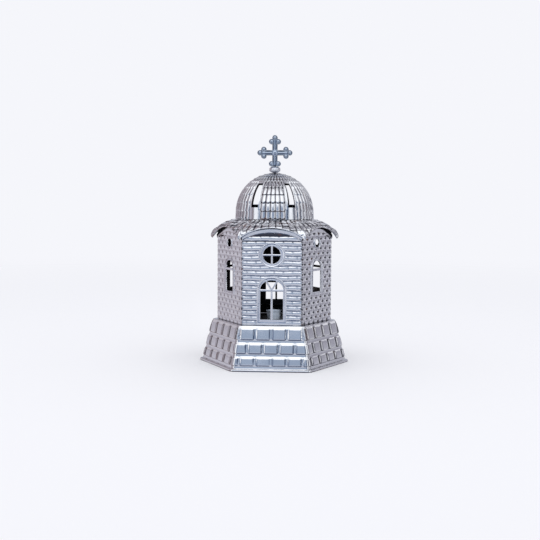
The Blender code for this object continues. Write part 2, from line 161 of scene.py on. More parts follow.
class Part:
    """Collects meshes, with a value per point for how bright its plate is, lowered by patina and by
    painted shade, and a material number per face.
    """

    def __init__(self):
        self.points = []
        self.faces = []
        self.bare_and_lit = []
        self.numbers = []
        self.count = 0

    def add(self, points, faces, bare_and_lit=1.0, number=0):
        """Adds a mesh, with a value per point from 0 where patina and painted shade darken the plate to 1
        on bright crowns.
        """
        points = np.asarray(points, float)
        self.points.append(points)
        self.faces += [[int(i) + self.count for i in face] for face in faces]
        self.bare_and_lit.append(np.broadcast_to(bare_and_lit, len(points)))
        self.numbers += list(np.broadcast_to(number, len(faces)))
        self.count += len(points)

    def piece(self, name, body, nodes, materials, slot=None, angle=40):
        """Makes the object that rides on the body in place of the CAD nodes, with edges that turn
        by more than the angle left sharp."""
        mesh = bpy.data.meshes.new(name)
        mesh.from_pydata(np.concatenate(self.points).tolist(), [], self.faces)
        for made in materials:
            mesh.materials.append(made)
        mesh.polygons.foreach_set("material_index", np.array(self.numbers, np.int32))
        # the point value holds both patina in the recesses and painted shade
        values = mesh.attributes.new("bare_and_lit", "FLOAT", "POINT")
        values.data.foreach_set("value", np.concatenate(self.bare_and_lit).astype(np.float32))
        work = bmesh.new()
        work.from_mesh(mesh)
        loose = [v for v in work.verts if not v.link_faces]
        bmesh.ops.delete(work, geom=loose, context="VERTS")
        bmesh.ops.remove_doubles(work, verts=work.verts, dist=1e-7)
        bmesh.ops.dissolve_degenerate(work, dist=1e-7, edges=work.edges)
        bmesh.ops.recalc_face_normals(work, faces=work.faces)
        work.to_mesh(mesh)
        work.free()
        mesh.shade_smooth()
        mesh.set_sharp_from_angle(angle=math.radians(angle))
        piece = place_object(name, mesh)
        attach(piece, body)
        if nodes:
            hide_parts(*nodes)
        return piece


# ---- materials
# scales of the plate's patterns, and heights of its shallow dents and its grain
STAIN_SCALE = 90.0
CLOUD_SCALE = 45.0
SHINE_SCALE = 160.0
DENT_SCALE = 170.0
GRAIN_SCALE = 800.0
DENT_HEIGHT = 0.1 * MM
GRAIN_HEIGHT = 0.02 * MM
# how much rougher the recesses are than the crowns
RECESS_ROUGHNESS = 0.22
# the plain metals' bump
METAL_HEIGHT = 0.03 * MM
METAL_STRENGTH = 0.4


def shader_tree(name):
    """A new material with its node tree and its Principled shader."""
    made = bpy.data.materials.new(name)
    made.use_nodes = True
    return made, made.node_tree, made.node_tree.nodes["Principled BSDF"]


def noise(tree, scale, detail=3.0, stretch=(1, 1, 1)):
    """Noise in the object's own space, with its scale in cells per metre."""
    coordinates = tree.nodes.new("ShaderNodeTexCoord")
    mapping = tree.nodes.new("ShaderNodeMapping")
    mapping.inputs["Scale"].default_value = stretch
    pattern = tree.nodes.new("ShaderNodeTexNoise")
    pattern.inputs["Scale"].default_value = scale
    pattern.inputs["Detail"].default_value = detail
    tree.links.new(coordinates.outputs["Object"], mapping.inputs["Vector"])
    tree.links.new(mapping.outputs["Vector"], pattern.inputs["Vector"])
    return pattern.outputs["Fac"]


def ramp(tree, value, low, high, to_low, to_high):
    """The value mapped smoothly from one range to another."""
    node = tree.nodes.new("ShaderNodeMapRange")
    node.interpolation_type = "SMOOTHSTEP"
    for name, number in (("From Min", low), ("From Max", high), ("To Min", to_low), ("To Max", to_high)):
        node.inputs[name].default_value = number
    tree.links.new(value, node.inputs["Value"])
    return node.outputs["Result"]


def mix_colour(tree, factor, first, second):
    """The first colour where the factor is 0 and the second where it is 1."""
    node = tree.nodes.new("ShaderNodeMix")
    node.data_type = "RGBA"
    tree.links.new(factor, node.inputs["Factor"])
    for socket, colour in (("A", first), ("B", second)):
        found = [s for s in node.inputs if s.name == socket and s.type == "RGBA"][0]
        if isinstance(colour, tuple):
            found.default_value = (*colour, 1)
        else:
            tree.links.new(colour, found)
    return [s for s in node.outputs if s.type == "RGBA"][0]


def calculate(tree, operation, first, second):
    """The sum or product of two values, either of which may be a plain number."""
    node = tree.nodes.new("ShaderNodeMath")
    node.operation = operation
    for socket, value in zip(node.inputs, (first, second)):
        if isinstance(value, (int, float)):
            socket.default_value = value
        else:
            tree.links.new(value, socket)
    return node.outputs[0]


def bump(tree, pattern, height, strength=1.0, over=None):
    """A normal bent by the pattern, on top of another normal if one is given."""
    node = tree.nodes.new("ShaderNodeBump")
    node.inputs["Strength"].default_value = strength
    node.inputs["Distance"].default_value = height
    tree.links.new(pattern, node.inputs["Height"])
    if over is not None:
        tree.links.new(over, node.inputs["Normal"])
    return node.outputs["Normal"]


def plate(name, bright, recess, tint, roughness):
    """Polished plate: bright crowns, and darker, duller places with a trace of brown in them where the
    point value is low, which is patina in the recesses and painted shade.
    """
    made, tree, shader = shader_tree(name)
    shader.inputs["Metallic"].default_value = 1.0
    bare_and_lit = tree.nodes.new("ShaderNodeAttribute")
    bare_and_lit.attribute_name = "bare_and_lit"
    sunk = ramp(tree, bare_and_lit.outputs["Fac"], 0.05, 0.55, 1.0, 0.0)
    stain = ramp(tree, noise(tree, STAIN_SCALE), 0.5, 0.72, 0.0, 1.0)
    low = mix_colour(tree, stain, recess, tint)
    cloud = ramp(tree, noise(tree, CLOUD_SCALE), 0.3, 0.7, 0.0, 1.0)
    high = mix_colour(tree, cloud, bright, tuple(c * 0.93 for c in bright))
    tree.links.new(mix_colour(tree, sunk, high, low), shader.inputs["Base Color"])
    patches = ramp(tree, noise(tree, SHINE_SCALE), 0.3, 0.7, roughness * 0.8, roughness * 1.35)
    duller = calculate(tree, "MULTIPLY", sunk, RECESS_ROUGHNESS)
    tree.links.new(calculate(tree, "ADD", patches, duller), shader.inputs["Roughness"])
    dents = bump(tree, noise(tree, DENT_SCALE, 1.0), DENT_HEIGHT)
    grain = bump(tree, noise(tree, GRAIN_SCALE, 2.0), GRAIN_HEIGHT, over=dents)
    tree.links.new(grain, shader.inputs["Normal"])
    return made


def plain_metal(name, colour, darker, roughness, scale, stretch=(1, 1, 1), metallic=1.0):
    """Metal without recesses: one fine pattern varies its colour, its roughness and its normal."""
    made, tree, shader = shader_tree(name)
    shader.inputs["Metallic"].default_value = metallic
    pattern = noise(tree, scale, 4.0, stretch)
    share = ramp(tree, pattern, 0.35, 0.65, 0.0, 1.0)
    tree.links.new(mix_colour(tree, share, colour, darker), shader.inputs["Base Color"])
    rough = ramp(tree, pattern, 0.3, 0.7, roughness * 0.75, roughness * 1.3)
    tree.links.new(rough, shader.inputs["Roughness"])
    tree.links.new(bump(tree, pattern, METAL_HEIGHT, METAL_STRENGTH), shader.inputs["Normal"])
    return made


POLISHED = plate("polished_plate", (0.80, 0.81, 0.84), (0.085, 0.085, 0.105), (0.20, 0.115, 0.10), 0.13)
DARKENED = plate("darkened_cross", (0.47, 0.54, 0.64), (0.07, 0.085, 0.11), (0.10, 0.10, 0.12), 0.16)
MOULDED = plain_metal("bright_moulding", (0.78, 0.80, 0.85), (0.70, 0.72, 0.78), 0.18, 120.0)
# a near-black finish for every inside face
DARK_INSIDE = plain_metal("dark_inside", (0.030, 0.030, 0.034), (0.015, 0.015, 0.018), 0.5, 60.0)
# painted light: a lighter copy of the inside finish, for the rear right wall's inside
LIT_INSIDE = plain_metal("lit_inside", (0.20, 0.185, 0.175), (0.11, 0.10, 0.095), 0.5, 60.0)
TURNED = plain_metal("turned_cup", (0.62, 0.70, 0.83), (0.52, 0.60, 0.73), 0.34, 900.0,
                     stretch=(0.1, 0.1, 1), metallic=0.55)
SATIN = plain_metal("satin_plate", (0.58, 0.58, 0.61), (0.50, 0.50, 0.53), 0.38, 250.0)
STEEL = plain_metal("zinc_steel", (0.52, 0.53, 0.55), (0.42, 0.43, 0.46), 0.32, 800.0)


# ---- walls
ARCH_STEPS = 33
RING_STEPS = 64


def arched_loop(half, sill, spring, rise):
    """An arched opening's outline, from its lower left round by the right and over the arch."""
    angle = np.radians(np.linspace(0, 180, ARCH_STEPS))
    arch = np.stack([half * np.cos(angle), spring + rise * np.sin(angle)], -1)
    return np.concatenate([[[-half, sill], [half, sill]], arch])


def ring_loop(centre, radius, point=0.0):
    """A round opening's outline, drawn out to a point on its left and right if one is given."""
    angle = np.radians(np.linspace(0, 360, RING_STEPS, endpoint=False))
    reach = radius + point * np.abs(np.cos(angle)) ** 6
    return np.stack([reach * np.cos(angle), centre + reach * np.sin(angle)], -1)


def inside_loop(loop, x, z):
    """Which of the points lie inside the closed outline."""
    found = np.zeros(x.shape, bool)
    for (x1, z1), (x2, z2) in zip(loop, np.roll(loop, -1, axis=0)):
        if z1 == z2:
            continue
        crosses = (z1 > z) != (z2 > z)
        found ^= crosses & (x < (x2 - x1) * (z - z1) / (z2 - z1) + x1)
    return found


# by opening: its outline, and its moulding's outer edge
DOOR_LOOPS = (arched_loop(9.5 * MM, 41.75 * MM, 67.2 * MM, 7.4 * MM),
              arched_loop(12.5 * MM, 37.7 * MM, 66.6 * MM, 11.0 * MM))
REAR_LOOPS = (arched_loop(9.5 * MM, 50.0 * MM, 67.2 * MM, 7.4 * MM),
              arched_loop(12.5 * MM, 47.0 * MM, 66.6 * MM, 11.0 * MM))
SIDE_LOOPS = (arched_loop(6.75 * MM, 63.5 * MM, 83.25 * MM, 6.75 * MM),
              arched_loop(10.3 * MM, 61.6 * MM, 83.0 * MM, 9.3 * MM))
ROSE_CENTRE, ROSE_RADIUS = 95.75 * MM, 7.35 * MM
ROSE_LOOPS = (ring_loop(ROSE_CENTRE, ROSE_RADIUS), ring_loop(ROSE_CENTRE, 10.4 * MM, 1.2 * MM))
SMALL_CENTRE = 105.0 * MM
SMALL_LOOPS = (ring_loop(SMALL_CENTRE, 3.5 * MM), ring_loop(SMALL_CENTRE, 5.6 * MM))

# a bar runs from one point to another in the wall's plane, with its width, all in millimetres
DOOR_BARS = [((0, 41.5), (0, 66.3), 1.65), ((-9.8, 66.3), (9.8, 66.3), 1.75),
             ((0, 66.5), (-4.6, 74.0), 1.4), ((0, 66.5), (4.6, 74.0), 1.4)]
REAR_BARS = [((0, 49.7), (0, 74.7), 1.65), ((-9.8, 66.3), (9.8, 66.3), 1.75)]
SIDE_BARS = [((-7.0, 82.45), (7.0, 82.45), 2.0)]
ROSE_BARS = [((-7.6, 95.75), (7.6, 95.75), 1.5), ((0, 88.15), (0, 103.35), 1.5)]

# across a moulding, from the opening outwards: share of its width, height over the wall's face
MOULDING = [(0.0, -SHEET), (0.0, -0.05 * MM), (0.05, 0.06 * MM), (0.16, 0.12 * MM), (0.30, 0.16 * MM),
            (0.38, 0.02 * MM), (0.50, 0.00 * MM), (0.60, 0.22 * MM), (0.72, 0.44 * MM), (0.84, 0.48 * MM),
            (0.93, 0.34 * MM), (1.0, 0.05 * MM), (1.0, -SHEET)]


def on_wall(azimuth, x, z, out):
    """Points in a wall's plane turned to their place: x along the wall, out from its face."""
    angle = math.radians(azimuth)
    reach = WALL_APOTHEM + out
    return np.stack(np.broadcast_arrays(reach * math.sin(angle) + x * math.cos(angle),
                                        -reach * math.cos(angle) + x * math.sin(angle), z), -1)


def wall_top(node):
    """Height of the wall's top edge along it, from the CAD panel's own upper outline."""
    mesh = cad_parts[node].data
    points = np.array([v.co for v in mesh.vertices])
    angle = math.radians(WALLS[node])
    along = points[:, 0] * math.cos(angle) + points[:, 1] * math.sin(angle)
    out = points[:, 0] * math.sin(angle) - points[:, 1] * math.cos(angle)
    # so far over the eave's tip the outer face has only the points of its upper outline
    edge = (points[:, 2] > EAVE_TIP + 4 * MM) & (out > WALL_APOTHEM - SHEET / 2)
    order = np.argsort(along[edge])
    return along[edge][order], points[edge][order][:, 2]


# by wall: how dark the pits at the bricks' ends are, their half width, their middle and half height as
# shares of a course, how far the brick ends fall away, and how dark the lines between the courses are;
# the pits hold patina and the lines are painted shade, and how dark both are on each wall is painted
# shade set by how the light falls on that wall
PITS = {"wall_front": (0.60, 0.50 * MM, 0.85, 0.22, 0.22, 1.0),
        "wall_front_left": (0.72, 0.85 * MM, 0.42, 0.20, 0.45, 0.30),
        "wall_front_right": (1.0, 1.70 * MM, 0.42, 0.19, 0.50, 0.45),
        "wall_rear": (0.55, 0.80 * MM, 0.60, 0.22, 0.40, 0.9),
        "wall_rear_left": (0.65, 1.30 * MM, 0.42, 0.17, 0.50, 0.5),
        "wall_rear_right": (0.65, 1.30 * MM, 0.42, 0.17, 0.50, 0.5)}
# under the eave: the arched moulding's upper and lower edge, and how far it dips towards the corners
ARCH_TOP, ARCH_FOOT, ARCH_DIP = 2.6 * MM, 6.4 * MM, 1.6 * MM
ARCH_RELIEF = 1.9
# the course whose brickwork is painted in the eave's shade on the front and the rear
SHADED_COURSE = 17


def brick_relief(x, z, pit_depth, pit_half, pit_middle, pit_high, end_fall, line_depth):
    """Height of the brickwork, from 0 in the joints to 1 on the crowns, and how bright its plate is,
    darkened by patina in the pits and by painted shade along the bricks' lower edges.
    """
    z = z + BRICK_SWAY * np.sin(x / (3.1 * MM) + 2.1 * np.sin(z / (7 * MM)))
    course = np.floor((z - WALL_FOOT - COURSE_START) / BRICK_COURSE)
    up = (z - WALL_FOOT - COURSE_START) / BRICK_COURSE - course
    pitch = 2 * WALL_HALF / BRICKS_PER_WALL
    place = (x + WALL_HALF) / pitch + np.where(course % 2 == 0, 0.0, 0.5)
    number = np.floor(place)
    across = place - number
    to_joint = np.minimum(across, 1 - across) * pitch
    to_end = np.minimum(x + WALL_HALF, WALL_HALF - x)
    to_joint = np.minimum(to_joint, to_end)
    # a steady but uneven number for each brick, from -1 to 1
    lean = np.sin(number * 12.9898 + course * 78.233)
    roll = 1 - (2 * up - 1) ** 2
    ends = smooth(to_joint, 0.0, 1.1 * MM)
    spread = (to_joint / pit_half) ** 2 + ((up - pit_middle) / pit_high) ** 2
    pit = np.clip(1.9 * np.exp(-spread), 0, 1) * pit_depth
    corner = np.exp(-((to_end - 0.4 * MM) / (0.7 * MM)) ** 2 - ((up - 0.5) / 0.30) ** 4)
    pit = np.maximum(pit, corner * np.where(course % 2 == 0, 0.95, 0.65))
    height = roll * (1 - end_fall * (1 - ends)) * (0.94 + 0.06 * lean) - 0.35 * pit
    tilt = (across - 0.5) * lean * 0.16 * roll
    # painted shade along each brick's lower edge, and less along its top
    joint_line = 1 - smooth(roll + 0.12 * (up > 0.5), 0.0, 0.36)
    bare_and_lit = (1 - 0.74 * line_depth * joint_line) * (1 - pit)
    return height + tilt, bare_and_lit


def eave_moulding(node, x, z, under_eave, relief, bare_and_lit):
    """Lays the arched moulding under the eave over the brickwork, with painted shade on the course below
    it and in the gap above it.
    """
    under = under_eave - ARCH_DIP * (x / WALL_HALF) ** 2
    band = smooth(under, ARCH_TOP - 0.2 * MM, ARCH_TOP + 0.5 * MM)
    band = band * (1 - smooth(under, ARCH_FOOT - 0.5 * MM, ARCH_FOOT + 0.2 * MM))
    below = under > (ARCH_TOP + ARCH_FOOT) / 2
    # painted shade: a thin line under the moulding, then the course in the eave's shade and the joint
    # below it
    shade = np.exp(-((under - ARCH_FOOT - 0.3 * MM) / (0.40 * MM)) ** 2) * 0.7 * below
    if node in ("wall_front", "wall_rear"):
        line = WALL_FOOT + COURSE_START + SHADED_COURSE * BRICK_COURSE
        shade = np.maximum(shade, smooth(z, line - 0.5 * MM, line) * below * 0.93)
        second = line - BRICK_COURSE
        shade = np.maximum(shade, 0.85 * np.exp(-((z - second) / (0.8 * MM)) ** 2))
    # painted shade in the gap between the moulding and the eave
    shade = np.maximum(shade, 0.6 * ~below)
    bare_and_lit = bare_and_lit * (1 - shade)
    return relief * (1 - band) + ARCH_RELIEF * band, bare_and_lit * (1 - band) + band


def bar(part, azimuth, first, last, width):
    """A slim bar of a window, slightly crowned, between two points in the wall's plane."""
    first, last = np.array(first) * MM, np.array(last) * MM
    way = (last - first) / np.linalg.norm(last - first)
    side = np.array([-way[1], way[0]]) * width * MM / 2
    section = [(-1, -SHEET), (-1, 0.0), (-0.72, 0.22 * MM), (-0.25, 0.32 * MM), (0.25, 0.32 * MM),
               (0.72, 0.22 * MM), (1, 0.0), (1, -SHEET)]
    rings = []
    for end in np.linspace(first, last, 9):
        rings.append([on_wall(azimuth, *(end + side * s), out) for s, out in section])
    outside = [1] * (len(section) - 1) + [2]
    part.add(*loft(rings, closed=False), number=outside * (len(rings) - 1) + [1, 1])


WALL_COLUMNS, WALL_ROWS = 128, 212
# the brick sheet ends under the mouldings, this share of their width away from the opening
SHEET_END = 0.65
# how much of the relief shows on the inside of the wall
INSIDE_RELIEF = 0.6


def wall(node):
    """A wall of pressed bricks with its openings, their mouldings and their bars."""
    azimuth = WALLS[node]
    loops = {"wall_front": [DOOR_LOOPS, ROSE_LOOPS], "wall_rear": [REAR_LOOPS, SMALL_LOOPS]}
    bars = {"wall_front": DOOR_BARS + ROSE_BARS, "wall_rear": REAR_BARS}
    along, heights = wall_top(node)
    x = np.linspace(-WALL_HALF, WALL_HALF, WALL_COLUMNS + 1)
    z = np.linspace(WALL_FOOT, heights.max(), WALL_ROWS + 1)
    x, z = np.meshgrid(x, z)
    top = np.interp(x, along, heights)
    z = np.minimum(z, top)
    relief, bare_and_lit = brick_relief(x, z, *PITS[node])
    relief, bare_and_lit = eave_moulding(node, x, z, top - z, relief, bare_and_lit)
    middle_x = (x[:-1, :-1] + x[1:, 1:]) / 2
    middle_z = (z[:-1, :-1] + z[1:, 1:]) / 2
    keep = (z[1:, 1:] - z[:-1, 1:] > 1e-7) | (z[1:, :-1] - z[:-1, :-1] > 1e-7)
    part = Part()
    for inner, outer in loops.get(node, [SIDE_LOOPS, SMALL_LOOPS]):
        keep &= ~inside_loop(inner * (1 - SHEET_END) + outer * SHEET_END, middle_x, middle_z)
        rings = [on_wall(azimuth, *(inner * (1 - f) + outer * f).T, out) for f, out in MOULDING]
        part.add(*loft(rings), number=np.repeat([1] * (len(MOULDING) - 1) + [2], len(inner)))
    at_corner = np.abs(np.abs(x) - WALL_HALF) < 1e-6
    mitre = np.where(at_corner, np.sign(x) * SHEET * math.tan(HALF_TURN), 0)
    outer_skin = on_wall(azimuth, x, z, relief * BRICK_RISE - BRICK_SINK)
    inner_skin = on_wall(azimuth, x - mitre, z, relief * BRICK_RISE * INSIDE_RELIEF - SHEET)
    points, faces, inside = skin(outer_skin, inner_skin, keep)
    part.add(points, faces, np.tile(bare_and_lit.ravel(), 2), np.where(inside, 2, 0))
    for first, last, width in bars.get(node, SIDE_BARS):
        bar(part, azimuth, first, last, width)
    # the rear right wall's inside gets the lighter copy, painted light on it
    inside_finish = LIT_INSIDE if node == "wall_rear_right" else DARK_INSIDE
    return part.piece(node + "_relief", "house", [node], [POLISHED, MOULDED, inside_finish])


# ---- base
FACE_CELLS, CORNER_CELLS = 52, 12
BASE_ROWS = 110


def hexagon_path(radius, corner):
    """Points round a hexagon with rounded corners, each with its distance along its face, the
    outward way there and its face's number."""
    points, along, ways, face = [], [], [], []
    side = radius - 2 * corner * math.tan(HALF_TURN)
    apothem = radius * math.cos(HALF_TURN)
    for k in range(6):
        turn = math.radians(60 * k)
        normal = np.array([math.sin(turn), -math.cos(turn)])
        tangent = np.array([math.cos(turn), math.sin(turn)])
        for t in np.linspace(-side / 2, side / 2, FACE_CELLS, endpoint=False):
            points.append(normal * apothem + tangent * t)
            along.append(t)
            ways.append(normal)
            face.append(k)
        centre = normal * (apothem - corner) + tangent * side / 2
        for bend in np.linspace(0, FACE_TURN, CORNER_CELLS, endpoint=False):
            way = np.array([math.sin(turn + bend), -math.cos(turn + bend)])
            points.append(centre + way * corner)
            ways.append(way)
            if bend < HALF_TURN:
                along.append(side / 2 + corner * bend)
                face.append(k)
            else:
                along.append(-side / 2 - corner * (FACE_TURN - bend))
                face.append((k + 1) % 6)
    return np.array(points), np.array(along), np.array(ways), np.array(face)


# how dark the upright joints between the blocks and the lines along their feet are, by face; the joints
# hold patina, the lines are painted shade, and the strengths by face are painted shade as the light falls
# on each face
JOINT_DEPTH = np.array([0.40, 1.0, 0.85, 0.40, 0.85, 0.90])
FOOT_LINES = np.array([0.75, 0.80, 0.50, 0.75, 0.40, 0.35])


def block_relief(along, z, face):
    """Height of the base's blocks, from 0 in the joints to about 1 on their faces, and how bright their
    plate is, darkened by patina in the joints and by painted shade along the blocks' feet."""
    height, bare_and_lit = np.zeros(along.shape), np.ones(along.shape)
    for number, (top, foot) in enumerate(zip(BLOCK_COURSES, BLOCK_COURSES[1:])):
        if not foot < z <= top:
            continue
        shift = 0.5 if number == 1 else 0.0
        place = along / BLOCK_PITCH + shift
        nearest = np.abs(place - np.round(place)) * BLOCK_PITCH
        last_joint = (2 - shift) * BLOCK_PITCH
        # past the last joint the block runs on round the corner
        beyond = np.abs(along) - last_joint
        nearest = np.where(beyond > 0, np.minimum(BLOCK_PITCH, beyond), nearest)
        lean = np.sin(np.floor(place) * 7.31 + number * 3.17 + face * 1.9)
        ends = smooth(nearest, 0.2 * MM, 1.9 * MM)
        upper = smooth(top - z, 0.0, 2.2 * MM)
        lower = smooth(z - foot, 1.2 * MM, 3.0 * MM)
        crown = 1 + 0.16 * np.cos((z - (top + foot) / 2) / (top - foot) * math.pi)
        height = ends * upper * lower * crown * (1 + 0.05 * lean)
        wide = np.where(JOINT_DEPTH[face] > 0.5, 1.40, 0.50) * MM
        pit = np.exp(-((nearest - 0.6 * MM) / wide) ** 2)
        pit = pit * smooth(upper * lower, 0.0, 0.5) * JOINT_DEPTH[face]
        # painted shade in a line along the foot of each block
        foot_line = np.exp(-((z - foot - 1.9 * MM) / (0.45 * MM)) ** 2)
        bare_and_lit = (1 - 0.9 * pit) * (1 - FOOT_LINES[face] * foot_line * (0.4 + 0.6 * ends))
        # a fine raised line along the middle of the joint
        height = height + 0.35 * np.exp(-(nearest / (0.28 * MM)) ** 2) * upper * lower
    return height, bare_and_lit


# radii of the hexagons across the flat ledge
LEDGE_RADII = (49.3 * MM, 36 * MM, 24 * MM, 12 * MM, 2 * MM)
# how far the skirt's foot lies inside the flange, and its top outside the house's corners
FLANGE_WIDTH = 2.3 * MM
LEDGE_MARGIN = 5.7 * MM
SHOULDER = 2.0 * MM
SKIRT_LOW = 2.2 * MM
# the joints of the blocks are pressed in this far
BLOCK_SINK = 0.45 * MM


def base():
    """The pressed base: rolled flange, three courses of blocks, rounded shoulder and flat ledge."""
    part = Part()
    skirt_foot = FLANGE_RADIUS - FLANGE_WIDTH
    top_radius = 2 * WALL_HALF + LEDGE_MARGIN
    skirt_high = BASE_TOP - SHOULDER
    profile = []
    for z in np.linspace(SKIRT_LOW, skirt_high, BASE_ROWS):
        share = (z - SKIRT_LOW) / (skirt_high - SKIRT_LOW)
        profile.append((skirt_foot + (top_radius - skirt_foot) * share, z, BASE_CORNER))
    for turn in np.radians([15, 30, 45, 60, 75, 90]):
        fall = SHOULDER * (1 - math.cos(turn))
        profile.append((top_radius - fall, BASE_TOP - SHOULDER * (1 - math.sin(turn)), BASE_CORNER - fall))
    outer, bare_and_lit_rows, inner = [], [], []
    for radius, z, corner in profile:
        points, along, ways, face = hexagon_path(radius, corner)
        rise, bare_and_lit = block_relief(along, z, face)
        sink = BLOCK_SINK * smooth(BLOCK_COURSES[0] + 0.8 * MM - z, 0.0, 0.8 * MM)
        moved = points + ways * (rise[:, None] * BLOCK_RISE - sink)
        outer.append(np.column_stack([moved, np.full(len(moved), z)]))
        bare_and_lit_rows.append(bare_and_lit)
        drop = SHEET if z > skirt_high else 0
        inner.append(np.column_stack([moved - ways * SHEET, np.full(len(moved), z - drop)]))
    for radius in LEDGE_RADII:
        points = hexagon_path(radius, radius * 0.06)[0]
        outer.append(np.column_stack([points, np.full(len(points), BASE_TOP)]))
        inner.append(outer[-1] - [0, 0, SHEET])
        bare_and_lit_rows.append(np.ones(len(points)))
    points, faces, inside = skin(np.array(outer), np.array(inner), wrap=True)
    number = np.where(inside, 1, 0)
    # the ledge inside the house is near-black
    cells = len(outer[0])
    number[len(profile) * cells:(len(outer) - 1) * cells] = 2
    part.add(points, faces, np.tile(np.concatenate(bare_and_lit_rows), 2), number)
    # the rolled flange: radius, and height in millimetres
    flange = [(skirt_foot - 0.9 * MM, 2.6), (skirt_foot + 0.1 * MM, 2.55), (skirt_foot + 0.8 * MM, 2.1),
              (FLANGE_RADIUS - 0.6 * MM, 1.95), (FLANGE_RADIUS - 0.15 * MM, 1.6), (FLANGE_RADIUS, 1.0),
              (FLANGE_RADIUS - 0.15 * MM, 0.35), (FLANGE_RADIUS - 0.6 * MM, 0.0),
              (skirt_foot - 0.9 * MM, 0.0)]
    rings = []
    for radius, z in flange:
        points = hexagon_path(radius, BASE_CORNER)[0]
        rings.append(np.column_stack([points, np.full(len(points), z * MM)]))
    # painted shade darkens the flange towards its foot on the floor
    bare_and_lit = [smooth(np.array(z), 0.2, 1.2) for radius, z in flange]
    part.add(*loft(rings), np.repeat(bare_and_lit, len(rings[0])))
    return part.piece("base_relief", "base", ["base_shell"], [POLISHED, SATIN, DARK_INSIDE])


# ---- roof
# heights and hole of the CAD model's roof sheet
EAVE_CROWN = 118.2 * MM
ROOF_HOLE = 32.0 * MM
EAVE_FALL = 3.0 * MM
# tile columns on each of the six sides, and the length of a row down the slope
ROOF_COLUMNS = 9
ROOF_ROW = 4.9 * MM
ROOF_RISE = 1.25 * MM
ROOF_STEPS, ROOF_RINGS = 720, 69


def eave(azimuth):
    """Radius and height of the eave's lower edge, and the distance along its side."""
    off = np.radians((azimuth + 30) % 60 - 30)
    along = EAVE_APOTHEM * np.tan(off)
    rise = EAVE_CROWN - EAVE_TIP
    arch = (EAVE_HALF ** 2 + rise ** 2) / (2 * rise)
    return EAVE_APOTHEM / np.cos(off), EAVE_CROWN - (arch - np.sqrt(arch ** 2 - along ** 2)), along


def roof_surface(azimuth, slope, inset=0.0):
    """The roof's sheet, whose slope runs from 0 degrees at its hole to 90 at the eave."""
    radius, height, along = eave(azimuth)
    turn = np.radians(slope)
    reach = np.sin(turn)
    sag = 1 - np.cos(turn)
    top = ROOF_TOP - inset
    r = ROOF_HOLE + (radius - inset - ROOF_HOLE) * reach
    z = top - EAVE_FALL * reach - (top - EAVE_FALL - height) * sag
    return polar(r, azimuth, z)


def normals(grid):
    """Outward directions of a surface given as rings of points."""
    across = np.roll(grid, -1, axis=1) - np.roll(grid, 1, axis=1)
    up = np.gradient(grid, axis=0)
    way = np.cross(across, up)
    way /= np.maximum(np.linalg.norm(way, axis=2, keepdims=True), 1e-12)
    away = grid - grid.mean(axis=(0, 1))
    return way * np.sign((way * away).sum())


def tile_relief(place, row_place, scallop, barrel_rise, tilt, joint, row_shadow=1.0):
    """Height of shingled barrel tiles, and how bright their plate is, with dark joints between the columns
    and painted shadow under each row's edge: place counts columns, row_place counts rows down the slope,
    and the last argument is how dark that painted shadow is."""
    across = place - np.floor(place)
    barrel = 1 - (2 * across - 1) ** 2
    shifted = row_place - scallop * (barrel - 1)
    row = np.floor(shifted)
    down = shifted - row
    lean = np.sin(np.floor(place) * 12.9898 + row * 78.233)
    step = down * (1 - smooth(down, 0.86, 1.0))
    height = barrel_rise * barrel + 0.45 * step
    height = height + tilt * lean * (across - 0.5) + tilt * np.cos(5 * lean) * (down - 0.5)
    # painted shadow on each tile's lower edge and under the edge of the row above
    shadow = 1 - (1 - smooth(down, 0.84, 0.93)) * (0.2 + 0.8 * smooth(down, 0.0, 0.10))
    return height, smooth(barrel, 0.0, joint) * (1 - row_shadow * shadow)


def roof():
    """The tiled skirt roof, with a plain band and a lip along its eave and bulges at its corners."""
    part = Part()
    azimuth = np.linspace(0, 360, ROOF_STEPS, endpoint=False)
    azimuth, slope = np.meshgrid(azimuth, np.linspace(4, 90, ROOF_RINGS))
    surface = roof_surface(azimuth, slope)
    along = eave(azimuth)[2]
    place = along / (2 * EAVE_HALF) * ROOF_COLUMNS + 0.5
    steps = np.linalg.norm(np.diff(surface, axis=0, prepend=surface[:1]), axis=2)
    row_place = np.cumsum(steps, axis=0) / ROOF_ROW
    # the roof's tiles carry the full painted shadow under their rows
    relief, bare_and_lit = tile_relief(place, row_place, 0.24, 0.55, 0.65, 0.70)
    corner = smooth(np.abs(along) / EAVE_HALF, 0.90, 1.0)
    margin = 80 - 20 * corner
    band = smooth(slope, margin, margin + 1.5)
    lip = smooth(slope, 80, 84) * (1 - 0.6 * smooth(slope, 86, 90))
    horn = corner * smooth(slope, 46, 66) * (1 - smooth(slope, 78, 90))
    relief = relief * (1 - band) + 0.35 * band + 0.40 * lip + 1.3 * horn
    # painted shade: the plain band is a little darker than the lip, to dim its reflections
    bare_and_lit = bare_and_lit * (1 - band) + (0.45 + 0.50 * lip) * band
    outer = surface + normals(surface) * (relief[..., None] - 0.55) * ROOF_RISE
    inner = roof_surface(azimuth, slope, SHEET)
    points, faces, inside = skin(outer[::-1], inner[::-1], wrap=True)
    part.add(points, faces, np.tile(bare_and_lit[::-1].ravel(), 2), np.where(inside, 1, 0))
    return part.piece("roof_relief", "house", ["roof_shell"], [POLISHED, DARK_INSIDE])


# ---- dome
DOME_CENTRE = 131.0 * MM
DOME_RISE = 1.1 * MM
DOME_STEPS, DRUM_ROWS, DOME_ROWS = 480, 14, 90
# middles of the slots, and their half width, ends and frame, in degrees round and up the dome
SLOT_AZIMUTHS = (27.5, 90, 152.5, 214, 270, 332.5)
SLOT_HALF, SLOT_FRAME_HALF = 5.6, 9.4
SLOT_LOW, REAR_SLOT_LOW, SLOT_HIGH = 6.5, 10.5, 46.0
FRAME_TOP = 51.0
